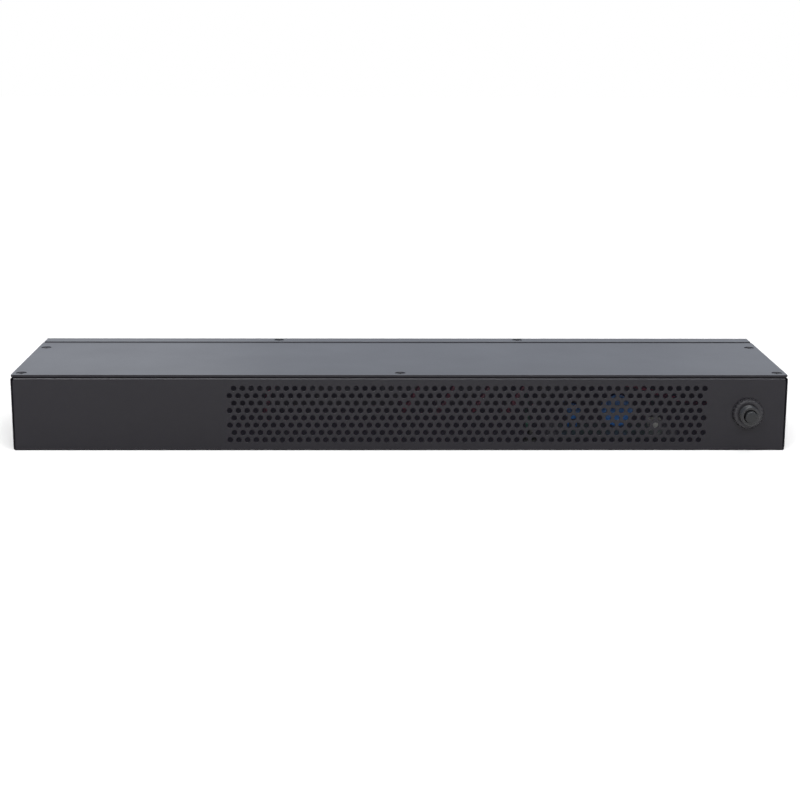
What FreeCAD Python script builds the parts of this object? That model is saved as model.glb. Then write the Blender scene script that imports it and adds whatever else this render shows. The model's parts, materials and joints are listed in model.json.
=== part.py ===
"""Rack power distribution unit, one rack unit high, in millimetres.

The case is folded steel sheet: a U-shaped base tray, a perforated vent panel, a flat top cover and an
outlet panel whose top flange shows as a strip behind the cover. A push-to-reset circuit breaker stands
out beside the vents. A row of outlets and the power inlet look out of the far side. Bus bars, wires and
a surge board fill the case.

The origin is at the middle of the tray's underside. +X runs along the case, +Y from the vent panel to
the outlet panel, +Z up.
"""
import FreeCAD, Part
import math
import os

V = FreeCAD.Vector
X_AXIS = V(1, 0, 0)
Y_AXIS = V(0, 1, 0)
Z_AXIS = V(0, 0, 1)

# Case
body_w = 444.5            # passes between the posts of a 19 inch rack
body_d = 110.0            # face of the vent panel to face of the outlet panel
body_h = 44.2             # underside of the tray to top of the cover
sheet = 1.2               # tray, vent panel, cover and rail
panel_sheet = 1.6         # outlet panel
bend_in_r = 0.3           # inside of every bend
flange_w = 11.0           # flanges of the tray and of the vent panel
flange_relief = 0.5       # between the vent panel's side flanges and its upper bend
strip_d = 12.6            # flanges of the outlet panel, the upper one being the strip
strip_inset = 0.8         # ends of the outlet panel from the sides of the case
cover_gap = 0.4           # cover to strip
cover_inset = 0.2         # ends of the cover from the sides of the case
cover_corner_r = 1.0
rail_d = 24.0             # rail under the cover's far edge and the strip
rail_tab = 14.0           # ends of the rail, turned down against the walls
fit_gap = 0.2             # between sheet edges that face each other
small_sides = 8           # sides of small rounds that repeat, such as screws

# Vents
vent_pitch = 5.0
vent_hole_d = 3.1         # round hole with the open area of each vent
vent_sides = 4            # sides of each vent's outline
vent_rows = 8
vent_columns = 55
vents_to_breaker = 25.25  # outermost vent to the breaker's axis

# Countersunk M3 screws of the cover and the strip
screw_r = 1.5
screw_head_r = 2.7
screw_len = 6.0
head_gap = 0.1            # head to countersink
thread_gap = 0.05         # thread to tapped hole
screw_side = 5.25         # outer cover screws from the sides of the case
screw_front = 5.8         # front cover screws from the vent panel's face
screw_to_rail = 3.6       # rear cover screws in front of the rail
strip_screw_x = 75.0
strip_screw_edge = 6.3    # strip screws from the outlet panel's face

# Tapped M4 holes in the side walls for rack ears
ear_hole_r = 1.75
ear_hole_pitch = 24.0
ear_hole_edge = 14.0      # from the outlet panel's face

# Circuit breaker
breaker_side = 22.25      # breaker's axis from the side of the case
breaker_z = 22.0
breaker_w = 15.0
breaker_d = 30.0
breaker_h = 32.0
breaker_sides = 24        # sides of the breaker's rounds
neck_r = 4.76
neck_out = 5.5            # neck beyond the nut
neck_gap = 0.1            # neck in its panel hole and in its nut
nut_r = 8.9
nut_front_r = 8.2
nut_t = 3.0
nut_ridges = 24
ridge_h = 0.35
button_r = 3.5
button_gap = 0.45         # button in the neck
button_out = 3.0          # button beyond the neck
button_chamfer = 0.6
button_travel = 3.5
collar_r = 4.9            # collar that keeps the button in
collar_t = 2.0
collar_gap = 0.5          # collar to the sides and the far end of its chamber
chamber_front = 3.0       # case wall between the neck and the chamber

# Push-on terminals
tab_t = 0.8
tab_w = 6.3
tab_len = 9.0
breaker_tab_pitch = 20.0
sleeve_t = 3.6
sleeve_w = 9.0
sleeve_len = 14.0
sleeve_gap = 1.0          # sleeve to the housing that holds its tab

# Outlets
outlet_count = 8
outlet_side = 31.75       # last outlet from the side of the case
outlets_to_inlet = 53.0   # first outlet from the inlet
outlet_z = 22.0
core_w = 23.6
core_h = 15.6
core_chamfer = 4.5
moat = 2.4                # space round the core for a plug's shroud
moat_depth = 17.0
shell_wall = 1.5
shell_depth = 24.0        # behind the outlet panel's face
lip_over = 2.4            # lip beyond the shell
lip_t = 2.0
cut_gap = 0.15            # shell in its cut-out
latch_h = 0.8
latch_w = 6.0
latch_len = 5.0
latch_gap = 0.1           # latch to the panel
pole_x = 7.0              # live and neutral from the middle
pole_drop = 2.0           # live and neutral below the middle
earth_rise = 2.0          # earth above the middle
slot_w = 2.6
slot_h = 5.2
slot_depth = 14.0         # open part of a slot, in front of its contact

# Power inlet
inlet_side = 34.25        # inlet from the other side of the case
inlet_room = 0.5          # cavity round a plug's core
inlet_wall = 1.8
inlet_depth = 26.0        # behind the outlet panel's face
inlet_lip_over = 4.0
cavity_depth = 16.5       # from the lip's face
pin_t = 2.0
pin_h = 4.0
pin_len = 14.5

# Bus bars
bus_t = 1.0
bus_h = 6.0
bus_tooth_w = 5.0
bus_end = 6.0             # bar beyond its outermost contacts
bus_rise = 9.0            # live and neutral bars from the outlets' middle
bus_gap = 4.0             # live and neutral bars to the outlets' backs
earth_bus_gap = 10.0      # earth bar to the outlets' backs

# Wires
wire_r = 1.6
lead_r = 0.9
wire_sides = 6
arc_share = 0.45          # share of the shorter run that a bend takes up
arc_step = 45.0           # largest turn of one step of a bend, in degrees
feed_runs = (16.0, 14.0)  # straight runs at the ends of the live feed
load_runs = (12.0, 26.0)  # at the ends of the live load wire
neutral_runs = (14.0, 24.0)
earth_runs = (8.0, 12.0)
bond_run = 5.0
lead_run = 12.0
lead_rise = 4.0           # height that a lead makes up on its last runs
load_bar_x = -120.0       # load wire's end on the live bar, from the vents' middle
tap_count = 4             # wires from the load wire's upper run down to the live bar
tap_pitch = 20.7
tap_drop = 2.6            # taps' tops below the load wire's axis

# Bends of the wires' routes: sideways place, depth behind the vent panel's face, height
feed_by_inlet = (48.0, 36.0, 33.0)
feed_by_breaker = [(-60.0, 36.0, 35.0), (-22.0, 60.0, 33.0)]
load_by_breaker = [(-42.0, 50.0, 20.0), (-63.5, 41.0, 32.5)]
load_by_vents = [(-115.4, 41.0, 32.5), (-119.3, 41.0, 11.0)]
tap_top_x = -25.0         # first tap's top, from the vents' middle
tap_foot = (-37.3, 41.0, 11.0)
neutral_by_inlet = (23.0, 46.0, 33.0)
earth_by_inlet = (23.0, 56.0, 27.0)

# Earth stud
stud_to_board = 47.0      # stud from the board's middle
stud_depth = 20.0         # from the vent panel's face
stud_r = 2.0
stud_len = 8.0
lug_w = 8.0
lug_t = 1.0
lug_len = 10.0            # stud to the wire's end
barrel_w = 4.6
barrel_len = 5.0
nut_flats = 7.0
earth_nut_t = 3.2
stud_gap = 0.15           # lug and nut round the stud

# Surge board
board_to_breaker = 76.0   # board's middle from the breaker's axis
board_front = 10.0        # board's edge from the vent panel's face
board_w = 68.0
board_d = 32.0
board_t = 1.6
board_rise = 3.0          # board above the tray's floor
post_size = 6.0
post_rise = 2.4           # posts above the board
post_grip = 2.0           # board's edge in a post
post_edge = 5.0           # posts' middles from the board's corners
varistor_x = 5.0          # from the board's middle
varistor_y = 20.0         # from the board's front edge
varistor_r = 9.5
varistor_t = 5.0
varistor_rise = 1.8       # disc above the board
capacitor_ends = (13.0, 29.0)   # capacitors from the board's ends
capacitor_ys = (24.0, 28.0)
capacitor_r = 4.75
capacitor_t = 3.5
capacitor_rise = 5.0
disc_sides = 16
disc_leg = 0.8
header_end = 6.0          # header's middle from the board's end
header_y = 23.0           # from the board's front edge
header_w = 7.0
header_d = 8.0
header_h = 5.2
header_wall = 1.0
lead_pitch = 2.6

# Levels and planes that several pieces share
over = 1.0                # how far a cutting tool passes what it cuts
half_w = body_w / 2
y_front = -body_d / 2
y_rear = body_d / 2
deck_z = body_h - sheet                       # flanges' tops, where the cover lies
strip_top = deck_z + panel_sheet
bend_r = sheet + bend_in_r
panel_bend_r = panel_sheet + bend_in_r
nest_half = half_w - bend_r                   # half-width of a sheet that nests inside the tray
panel_back = y_rear - panel_sheet             # outlet panel's inner face
wall_end = panel_back - bend_in_r             # side walls' and rail's far edges
rail_y = wall_end - rail_d
cover_end = y_rear - strip_d - cover_gap
lip_face = y_rear + lip_t
outlet_back = y_rear - shell_depth
inlet_back = y_rear - inlet_depth
bus_y = outlet_back - bus_gap                 # live and neutral bars' far faces
earth_bus_y = outlet_back - earth_bus_gap     # earth bar's far face
case_front = y_front + sheet
case_back = case_front + breaker_d
neck_end = y_front - nut_t - neck_out
board_top = sheet + board_rise + board_t
live_bus_z = outlet_z - bus_rise - bus_h / 2
neutral_bus_z = outlet_z + bus_rise + bus_h / 2
earth_bus_z = outlet_z + earth_rise
breaker_x = half_w - breaker_side
inlet_x = inlet_side - half_w
outlet_first_x = inlet_x + outlets_to_inlet
outlet_pitch = (half_w - outlet_side - outlet_first_x) / (outlet_count - 1)
outlet_xs = [outlet_first_x + k * outlet_pitch for k in range(outlet_count)]
vent_mid_x = breaker_x - vents_to_breaker - vent_pitch * (2 * vent_columns - 1) / 4
board_x = breaker_x - board_to_breaker
stud_x = board_x - stud_to_board
header_x = board_w / 2 - header_end
capacitor_xs = (capacitor_ends[0] - board_w / 2, board_w / 2 - capacitor_ends[1])
poles = {"live": (-pole_x, -pole_drop), "neutral": (pole_x, -pole_drop), "earth": (0.0, earth_rise)}


def box(x0, x1, y0, y1, z0, z1):
    """Block between two corners."""
    return Part.makeBox(x1 - x0, y1 - y0, z1 - z0, V(x0, y0, z0))


def rounded_box(x0, x1, y0, y1, z0, z1, radius, axis):
    """Block whose edges along one axis are rounded."""
    block = box(x0, x1, y0, y1, z0, z1)
    edges = [e for e in block.Edges if abs(e.tangentAt(e.FirstParameter).dot(axis)) > 0.5]
    return block.makeFillet(radius, edges)


def prism(points, travel):
    """Flat outline pushed along a vector."""
    return Part.Face(Part.makePolygon(points + points[:1])).extrude(travel)


def ring(centre, radius, first, second, sides):
    """Corners of a regular outline in the plane of two directions, with a flat side at the start."""
    corners = []
    for k in range(sides):
        angle = 2 * math.pi * (k + 0.5) / sides
        corners.append(centre + first * (radius * math.cos(angle)) + second * (radius * math.sin(angle)))
    return corners


def skin(sections):
    """Solid through flat sections that have the same number of corners."""
    faces = [Part.Face(Part.makePolygon(s + s[:1])) for s in (sections[0], sections[-1])]
    for low, high in zip(sections, sections[1:]):
        for k in range(len(low)):
            side = [low[k - 1], low[k], high[k], high[k - 1]]
            faces.append(Part.Face(Part.makePolygon(side + side[:1])))
    solid = Part.makeSolid(Part.makeShell(faces))
    return solid if solid.Volume > 0 else solid.reversed()


def turned(x, y, steps, sides):
    """Solid round a vertical axis from (height, radius) steps, lowest first."""
    return skin([ring(V(x, y, z), radius, X_AXIS, Y_AXIS, sides) for z, radius in steps])


def fused(shapes):
    """Shapes joined into one solid, without seams between them."""
    return shapes[0].multiFuse(shapes[1:]).removeSplitter()


def save(name, shape):
    """One node, as its own file."""
    shape.exportStep(f"parts/{name}.step")


# Case

screw_sink = screw_head_r - screw_r


def tapped_hole(x, y):
    """Tool for the hole in a flange that takes a screw's thread."""
    hole_r = screw_r + thread_gap
    return turned(x, y, [(deck_z - sheet - over, hole_r), (deck_z + over, hole_r)], small_sides)


def countersink(x, y, z_top):
    """Tool for a countersunk hole through a sheet that lies on a flange."""
    hole_r = screw_r + head_gap
    mouth_r = screw_head_r + head_gap
    steps = [(deck_z - over, hole_r), (z_top - screw_sink, hole_r),
             (z_top, mouth_r), (z_top + over, mouth_r)]
    return turned(x, y, steps, small_sides)


def countersunk_screw(x, y, z_top):
    """Screw whose head lies flush with a sheet's top."""
    steps = [(z_top - screw_len, screw_r), (z_top - screw_sink, screw_r), (z_top, screw_head_r)]
    return turned(x, y, steps, small_sides)


side_screw_x = half_w - screw_side
front_screws = [(x, y_front + screw_front) for x in (-side_screw_x, 0.0, side_screw_x)]
rear_screws = [(x, rail_y - screw_to_rail) for x in (-side_screw_x, side_screw_x)]
strip_screws = [(x, y_rear - strip_screw_edge) for x in (-strip_screw_x, strip_screw_x)]


def base_tray():
    """Floor and side walls, with flanges turned in under the cover."""
    outer = rounded_box(-half_w, half_w, y_front, y_rear, 0, deck_z, bend_r, Y_AXIS)
    inside = half_w - sheet
    inner = rounded_box(-inside, inside, y_front - over, y_rear + over, sheet, deck_z - sheet,
                        bend_in_r, Y_AXIS)
    mouth = half_w - flange_w
    flange_low = deck_z - bend_r
    tools = [
        inner,
        box(-mouth, mouth, y_front - over, y_rear + over, flange_low, deck_z + over),
        box(-inside, inside, y_front - over, y_front + flange_w + fit_gap, flange_low, deck_z + over),
        box(-inside, inside, rail_y - fit_gap, y_rear + over, flange_low, deck_z + over),
        box(-half_w - over, half_w + over, wall_end, y_rear + over, sheet, deck_z + over),
    ]
    tools += [tapped_hole(x, y) for x, y in rear_screws]
    ear_y = y_rear - ear_hole_edge
    for z in (deck_z / 2 - ear_hole_pitch / 2, deck_z / 2 + ear_hole_pitch / 2):
        for x in (-half_w - over, inside - over):
            tools.append(Part.makeCylinder(ear_hole_r, sheet + 2 * over, V(x, ear_y, z), X_AXIS))
    return outer.cut(tools)


def vent_tool(x, z):
    """Tool for one vent, a regular outline with the area of the round hole."""
    area = math.pi * vent_hole_d ** 2 / 4
    corner_r = math.sqrt(2 * area / (vent_sides * math.sin(2 * math.pi / vent_sides)))
    outline = ring(V(x, y_front - over, z), corner_r, X_AXIS, Z_AXIS, vent_sides)
    return prism(outline, V(0, sheet + 2 * over, 0))


def vent_panel():
    """Perforated sheet on the floor, with a flange under the cover and one along each wall."""
    back = y_front + flange_w
    past = back + bend_r
    fold_z = deck_z - bend_r - flange_relief
    inside = nest_half - sheet
    upper = rounded_box(-nest_half, nest_half, y_front, past, fold_z - bend_r, deck_z, bend_r, X_AXIS)
    upper_tools = [
        rounded_box(-nest_half - over, nest_half + over, case_front, past + over, sheet, deck_z - sheet,
                    bend_in_r, X_AXIS),
        box(-nest_half, nest_half, y_front, past, 0, fold_z),
    ]
    lower = rounded_box(-nest_half, nest_half, y_front, past, sheet, fold_z, bend_r, Z_AXIS)
    room = rounded_box(-inside, inside, case_front, past + over, 0, body_h, bend_in_r, Z_AXIS)
    outer = fused([upper.cut(upper_tools), lower.cut(room)])
    tools = [box(-half_w, half_w, back, past + over, 0, body_h)]
    tools += [tapped_hole(x, y) for x, y in front_screws]
    neck_hole_r = neck_r + neck_gap
    tools.append(breaker_round([(y_front - over, neck_hole_r), (case_front + over, neck_hole_r)]))
    row_pitch = vent_pitch * math.sqrt(3) / 2
    for row in range(vent_rows):
        z = deck_z / 2 + ((vent_rows - 1) / 2 - row) * row_pitch
        shift = vent_pitch / 4 * (-1) ** row
        for column in range(vent_columns):
            x = vent_mid_x + shift + (column - (vent_columns - 1) / 2) * vent_pitch
            tools.append(vent_tool(x, z))
    return outer.cut(tools)


def top_cover():
    """Flat lid on the flanges."""
    edge = half_w - cover_inset
    plate = rounded_box(-edge, edge, y_front, cover_end, deck_z, body_h, cover_corner_r, Z_AXIS)
    return plate.cut([countersink(x, y, body_h) for x, y in front_screws + rear_screws])


def outlet_panel():
    """Far panel: a channel with cut-outs, its lower flange on the floor and its upper one the strip."""
    edge = half_w - strip_inset
    outer = rounded_box(-edge, edge, y_rear - 2 * strip_d, y_rear, sheet, strip_top,
                        panel_bend_r, X_AXIS)
    inner = rounded_box(-edge - over, edge + over, y_rear - 3 * strip_d, panel_back,
                        sheet + panel_sheet, deck_z, bend_in_r, X_AXIS)
    tools = [inner, box(-edge - over, edge + over, y_rear - 3 * strip_d, y_rear - strip_d, 0, strip_top)]
    for x0, x1 in ((-edge - over, -nest_half), (nest_half, edge + over)):
        tools.append(box(x0, x1, y_rear - strip_d - over, panel_back, 0, deck_z - bend_in_r))
    tools += [countersink(x, y, strip_top) for x, y in strip_screws]
    for x in outlet_xs:
        tools.append(socket_prism(x, moat + shell_wall + cut_gap, panel_back - over, y_rear + over))
    tools.append(socket_prism(inlet_x, inlet_room + inlet_wall + cut_gap, panel_back - over, y_rear + over))
    return outer.cut(tools)


def rear_rail():
    """Strap under the cover's far edge and the strip, its ends welded to the walls."""
    inside = half_w - sheet
    outer = rounded_box(-inside, inside, rail_y, wall_end, deck_z - 2 * rail_tab, deck_z, bend_r, Y_AXIS)
    inner = rounded_box(-inside + sheet, inside - sheet, rail_y - over, wall_end + over,
                        deck_z - 3 * rail_tab, deck_z - sheet, bend_in_r, Y_AXIS)
    below = box(-half_w, half_w, rail_y - over, wall_end + over, deck_z - 3 * rail_tab, deck_z - rail_tab)
    holes = [tapped_hole(x, y) for x, y in strip_screws]
    return outer.cut([inner, below] + holes)


# Sockets

def socket_outline(x, grow, y):
    """Outline of an appliance plug, grown all round, with the two corners by the earth cut off."""
    w = core_w / 2 + grow
    h = core_h / 2 + grow
    cut = core_chamfer + grow * (2 - math.sqrt(2))
    corners = [(-w, -h), (w, -h), (w, h - cut), (w - cut, h), (cut - w, h), (-w, h - cut)]
    return [V(x + dx, y, outlet_z + dz) for dx, dz in corners]


def socket_prism(x, grow, y0, y1):
    """That outline between two planes."""
    return prism(socket_outline(x, grow, y0), V(0, y1 - y0, 0))


def pole_box(x, pole, width, height, y0, y1):
    """Block round one pole of a socket."""
    dx, dz = poles[pole]
    return box(x + dx - width / 2, x + dx + width / 2, y0, y1,
               outlet_z + dz - height / 2, outlet_z + dz + height / 2)


def latches(x, grow):
    """Wedges on a shell's two sides that snap behind the panel."""
    start = panel_back - latch_gap
    wedges = []
    for side in (-1, 1):
        root = x + side * (core_w / 2 + grow)
        plan = [V(root, start, outlet_z - latch_w / 2),
                V(root + side * latch_h, start, outlet_z - latch_w / 2),
                V(root, start - latch_len, outlet_z - latch_w / 2)]
        wedges.append(prism(plan, V(0, 0, latch_w)))
    return wedges


def outlet(x):
    """Snap-in outlet: lip, shell, core with three slots, and the moat between core and shell."""
    shell = moat + shell_wall
    body = fused([socket_prism(x, shell + lip_over, y_rear, lip_face),
                  socket_prism(x, shell, outlet_back, y_rear)] + latches(x, shell))
    floor_y = lip_face - moat_depth
    ditch = socket_prism(x, moat, floor_y, lip_face + over)
    slots = [pole_box(x, pole, slot_w, slot_h, outlet_back - over, lip_face + over) for pole in poles]
    return body.cut([ditch.cut(socket_prism(x, 0, floor_y, lip_face + over))] + slots)


def bus_face(pole):
    """Plane where a pole's blades meet its bar."""
    return earth_bus_y if pole == "earth" else bus_y


def outlet_contacts():
    """Folded contacts that fill the backs of the outlets' slots and reach the bars."""
    tip = lip_face - slot_depth
    return Part.makeCompound([pole_box(x, pole, slot_w, slot_h, bus_face(pole), tip)
                              for x in outlet_xs for pole in poles])


def bus_bar(pole, middle_z):
    """Bar along all the outlets, with a tooth to each contact that it doesn't cover itself."""
    dx, dz = poles[pole]
    face = bus_face(pole)
    first = outlet_xs[0] + dx - bus_tooth_w / 2 - bus_end
    last = outlet_xs[-1] + dx + bus_tooth_w / 2 + bus_end
    shapes = [box(first, last, face - bus_t, face, middle_z - bus_h / 2, middle_z + bus_h / 2)]
    contact_z = outlet_z + dz
    low = min(middle_z, contact_z - slot_h / 2)
    high = max(middle_z, contact_z + slot_h / 2)
    for x in outlet_xs:
        centre = x + dx
        shapes.append(box(centre - bus_tooth_w / 2, centre + bus_tooth_w / 2, face - bus_t, face, low, high))
    return fused(shapes)


def inlet_body():
    """Snap-in inlet: lip, shell and the cavity that takes a plug."""
    shell = inlet_room + inlet_wall
    body = fused([socket_prism(inlet_x, shell + inlet_lip_over, y_rear, lip_face),
                  socket_prism(inlet_x, shell, inlet_back, y_rear)] + latches(inlet_x, shell))
    tools = [socket_prism(inlet_x, inlet_room, lip_face - cavity_depth, lip_face + over)]
    tools += [pole_box(inlet_x, pole, pin_t, pin_h, inlet_back - over, lip_face) for pole in poles]
    return body.cut(tools)


def inlet_pins():
    """Pins of the inlet, each with a tab behind for its wire."""
    pins = []
    for pole in poles:
        tip = lip_face - cavity_depth + pin_len
        pin = pole_box(inlet_x, pole, pin_t, pin_h, inlet_back, tip)
        tab = pole_box(inlet_x, pole, tab_t, tab_w, inlet_back - tab_len, inlet_back)
        pins.append(fused([pin, tab]))
    return Part.makeCompound(pins)


# Circuit breaker

def breaker_round(steps):
    """Solid round the breaker's axis from (depth, radius) steps, front first."""
    return skin([ring(V(breaker_x, y, breaker_z), radius, X_AXIS, Z_AXIS, breaker_sides)
                 for y, radius in steps])


bore_r = button_r + button_gap
chamber_r = collar_r + collar_gap
chamber_y = case_front + chamber_front
collar_front = chamber_y + button_travel + collar_gap
collar_back = collar_front + collar_t


def breaker_case():
    """Moulded case and its threaded neck, bored for the button."""
    block = box(breaker_x - breaker_w / 2, breaker_x + breaker_w / 2, case_front, case_back,
                breaker_z - breaker_h / 2, breaker_z + breaker_h / 2)
    neck = breaker_round([(neck_end, neck_r), (case_front, neck_r)])
    bore = breaker_round([(neck_end - over, bore_r), (chamber_y, bore_r)])
    chamber = breaker_round([(chamber_y, chamber_r), (collar_back + collar_gap, chamber_r)])
    return fused([block, neck]).cut([bore, chamber])


def breaker_nut():
    """Ring nut with a ridged rim that tapers to the front."""
    sections = []
    for y, scale in ((y_front - nut_t, nut_front_r / nut_r), (y_front, 1.0)):
        corners = []
        for k in range(2 * nut_ridges):
            angle = math.pi * k / nut_ridges
            radius = (nut_r - ridge_h * (k % 2)) * scale
            corners.append(V(breaker_x + radius * math.cos(angle), y, breaker_z + radius * math.sin(angle)))
        sections.append(corners)
    hole_r = neck_r + neck_gap
    return skin(sections).cut(breaker_round([(y_front - nut_t - over, hole_r), (y_front + over, hole_r)]))


def reset_button():
    """Button with the collar that keeps it in."""
    tip = neck_end - button_out
    return breaker_round([(tip, button_r - button_chamfer), (tip + button_chamfer, button_r),
                          (collar_front, button_r), (collar_front, collar_r), (collar_back, collar_r)])


breaker_tab_zs = {"line": breaker_z + breaker_tab_pitch / 2, "load": breaker_z - breaker_tab_pitch / 2}


def breaker_terminals():
    """Tabs at the back of the breaker."""
    tabs = []
    for z in breaker_tab_zs.values():
        tabs.append(box(breaker_x - tab_t / 2, breaker_x + tab_t / 2, case_back, case_back + tab_len,
                        z - tab_w / 2, z + tab_w / 2))
    return Part.makeCompound(tabs)


# Wires

def bend_points(before, corner, after):
    """Points of the tangent arc that rounds a corner of a route."""
    into = (corner - before).normalize()
    out = (after - corner).normalize()
    turn = into.getAngle(out)
    taken = arc_share * min(corner.distanceToPoint(before), corner.distanceToPoint(after))
    axis = into.cross(out)
    centre = corner - into * taken + axis.cross(into).normalize() * (taken / math.tan(turn / 2))
    spoke = corner - into * taken - centre
    steps = math.ceil(math.degrees(turn) / arc_step)
    arc = []
    for k in range(steps + 1):
        arc.append(centre + FreeCAD.Rotation(axis, math.degrees(turn) * k / steps).multVec(spoke))
    return arc


def wire(route, radius):
    """Wire along straight runs whose corners are rounded in short steps."""
    path = [route[0]]
    for before, corner, after in zip(route, route[1:], route[2:]):
        path += bend_points(before, corner, after)
    path.append(route[-1])
    along = [(high - low).normalize() for low, high in zip(path, path[1:])]
    across = along[0].cross(Z_AXIS).normalize()
    sections = [ring(path[0], radius, across, along[0].cross(across), wire_sides)]
    for k in range(1, len(path)):
        plane = along[k - 1] + along[min(k, len(along) - 1)]
        section = []
        for corner in sections[-1]:
            reach = (path[k] - corner).dot(plane) / along[k - 1].dot(plane)
            section.append(corner + along[k - 1] * reach)
        sections.append(section)
    return skin(sections)


def inlet_end(pole):
    """Point where a wire leaves its sleeve on the inlet."""
    dx, dz = poles[pole]
    return V(inlet_x + dx, inlet_back - sleeve_gap - sleeve_len, outlet_z + dz)


def breaker_end(side):
    """Point where a wire leaves its sleeve on the breaker."""
    return V(breaker_x, case_back + sleeve_gap + sleeve_len, breaker_tab_zs[side])


def bus_end_point(pole, x, z):
    """Point on the near face of a bar, where a wire is soldered."""
    return V(x, bus_face(pole) - bus_t, z)


def terminal_sleeves():
    """Sleeved push-on terminals on the tabs of the inlet and the breaker."""
    sleeves = []
    for pole in poles:
        sleeve = pole_box(inlet_x, pole, sleeve_t, sleeve_w, inlet_back - sleeve_gap - sleeve_len,
                          inlet_back - sleeve_gap)
        sleeves.append(sleeve.cut(inlet_pins()))
    for z in breaker_tab_zs.values():
        sleeve = box(breaker_x - sleeve_t / 2, breaker_x + sleeve_t / 2, case_back + sleeve_gap,
                     case_back + sleeve_gap + sleeve_len, z - sleeve_w / 2, z + sleeve_w / 2)
        sleeves.append(sleeve.cut(breaker_terminals()))
    return Part.makeCompound(sleeves)


def at(x, depth, z):
    """Point given by its depth behind the vent panel's face."""
    return V(x, y_front + depth, z)


def via(from_x, bend):
    """Bend of a route whose sideways place is counted from another piece."""
    x, depth, z = bend
    return at(from_x + x, depth, z)


def live_feed_wire():
    """From the inlet, high along the case, to the breaker's line tab."""
    start = inlet_end("live")
    end = breaker_end("line")
    route = [start, start - Y_AXIS * feed_runs[0], via(inlet_x, feed_by_inlet)]
    route += [via(breaker_x, bend) for bend in feed_by_breaker]
    route += [end + Y_AXIS * feed_runs[1], end]
    return wire(route, wire_r)


def live_load_wire():
    """From the breaker's load tab up, high along the case, and down to the live bar."""
    start = breaker_end("load")
    end = bus_end_point("live", vent_mid_x + load_bar_x, live_bus_z)
    route = [start, start + Y_AXIS * load_runs[0]]
    route += [via(breaker_x, bend) for bend in load_by_breaker]
    route += [via(vent_mid_x, bend) for bend in load_by_vents]
    route += [end - Y_AXIS * load_runs[1], end]
    return wire(route, wire_r)


def live_taps():
    """Wires from the load wire's upper run down to the live bar."""
    run_depth, run_z = load_by_vents[0][1:]
    taps = []
    for k in range(tap_count):
        from_x = vent_mid_x + k * tap_pitch
        top = at(from_x + tap_top_x, run_depth, run_z - tap_drop)
        end = bus_end_point("live", from_x + tap_foot[0], live_bus_z)
        taps.append(wire([top, via(from_x, tap_foot), end - Y_AXIS * load_runs[1], end], wire_r))
    return Part.makeCompound(taps)


def neutral_wire():
    """From the inlet to the neutral bar."""
    start = inlet_end("neutral")
    end = bus_end_point("neutral", outlet_xs[0], neutral_bus_z)
    return wire([start, start - Y_AXIS * neutral_runs[0], via(inlet_x, neutral_by_inlet),
                 end - Y_AXIS * neutral_runs[1], end], wire_r)


def earth_wire():
    """From the inlet to the earth bar."""
    start = inlet_end("earth")
    end = bus_end_point("earth", outlet_xs[0], earth_bus_z)
    return wire([start, start - Y_AXIS * earth_runs[0], via(inlet_x, earth_by_inlet),
                 end - Y_AXIS * earth_runs[1], end], wire_r)


def bond_wire():
    """From the earth stud's lug to the earth bar."""
    start = at(stud_x, stud_depth + lug_len, sheet + lug_t + wire_r)
    end = bus_end_point("earth", stud_x, earth_bus_z)
    return wire([start, start + V(0, bond_run, 0), start + V(0, lead_run, 2 * lead_rise),
                 end - V(0, lead_run, lead_rise), end - V(0, bond_run, 0), end], wire_r)


# Earth stud

earth_nut_z = sheet + lug_t


def stud_prism(radius, z0, z1):
    """Round bar on the stud's axis."""
    return turned(stud_x, y_front + stud_depth, [(z0, radius), (z1, radius)], small_sides)


def earth_stud():
    """Threaded stud welded to the floor."""
    return stud_prism(stud_r, sheet, sheet + stud_len)


def earth_lug():
    """Flat lug on the stud, with the barrel that holds the wire."""
    y0 = y_front + stud_depth
    tongue = box(stud_x - lug_w / 2, stud_x + lug_w / 2, y0 - lug_w / 2, y0 + lug_len, sheet, earth_nut_z)
    barrel = box(stud_x - barrel_w / 2, stud_x + barrel_w / 2, y0 + lug_len - barrel_len, y0 + lug_len,
                 earth_nut_z, earth_nut_z + 2 * wire_r)
    hole = stud_prism(stud_r + stud_gap, sheet - over, earth_nut_z + over)
    return fused([tongue, barrel]).cut(hole)


def earth_nut():
    """Hexagon nut on the lug."""
    centre = at(stud_x, stud_depth, earth_nut_z)
    outline = ring(centre, nut_flats / math.sqrt(3), X_AXIS, Y_AXIS, 6)
    hole = stud_prism(stud_r + stud_gap, earth_nut_z - over, earth_nut_z + earth_nut_t + over)
    return prism(outline, V(0, 0, earth_nut_t)).cut(hole)


# Surge board

def on_board(x, y, z):
    """Point given from the board's middle, its front edge and its top."""
    return at(board_x + x, board_front + y, board_top + z)


def surge_board():
    """Circuit board."""
    corner = on_board(-board_w / 2, 0, -board_t)
    return Part.makeBox(board_w, board_d, board_t, corner)


def board_posts():
    """Posts that grip the board's two ends."""
    posts = []
    for side in (-1, 1):
        grip_x = side * (board_w / 2 - post_grip)
        low = min(grip_x, grip_x + side * post_size)
        for y in (post_edge, board_d - post_edge):
            corner = on_board(low, y - post_size / 2, -board_t - board_rise)
            post = Part.makeBox(post_size, post_size, board_rise + board_t + post_rise, corner)
            posts.append(post.cut(surge_board()))
    return Part.makeCompound(posts)


def disc_part(x, y, radius, thickness, rise):
    """Disc component that stands on two legs."""
    axis_z = rise + radius
    outline = ring(on_board(x, y - thickness / 2, axis_z), radius, X_AXIS, Z_AXIS, disc_sides)
    legs = []
    for side in (-1, 1):
        corner = on_board(x + side * radius / 2 - disc_leg / 2, y - disc_leg / 2, 0)
        legs.append(Part.makeBox(disc_leg, disc_leg, axis_z, corner))
    return fused([prism(outline, V(0, thickness, 0))] + legs)


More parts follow.
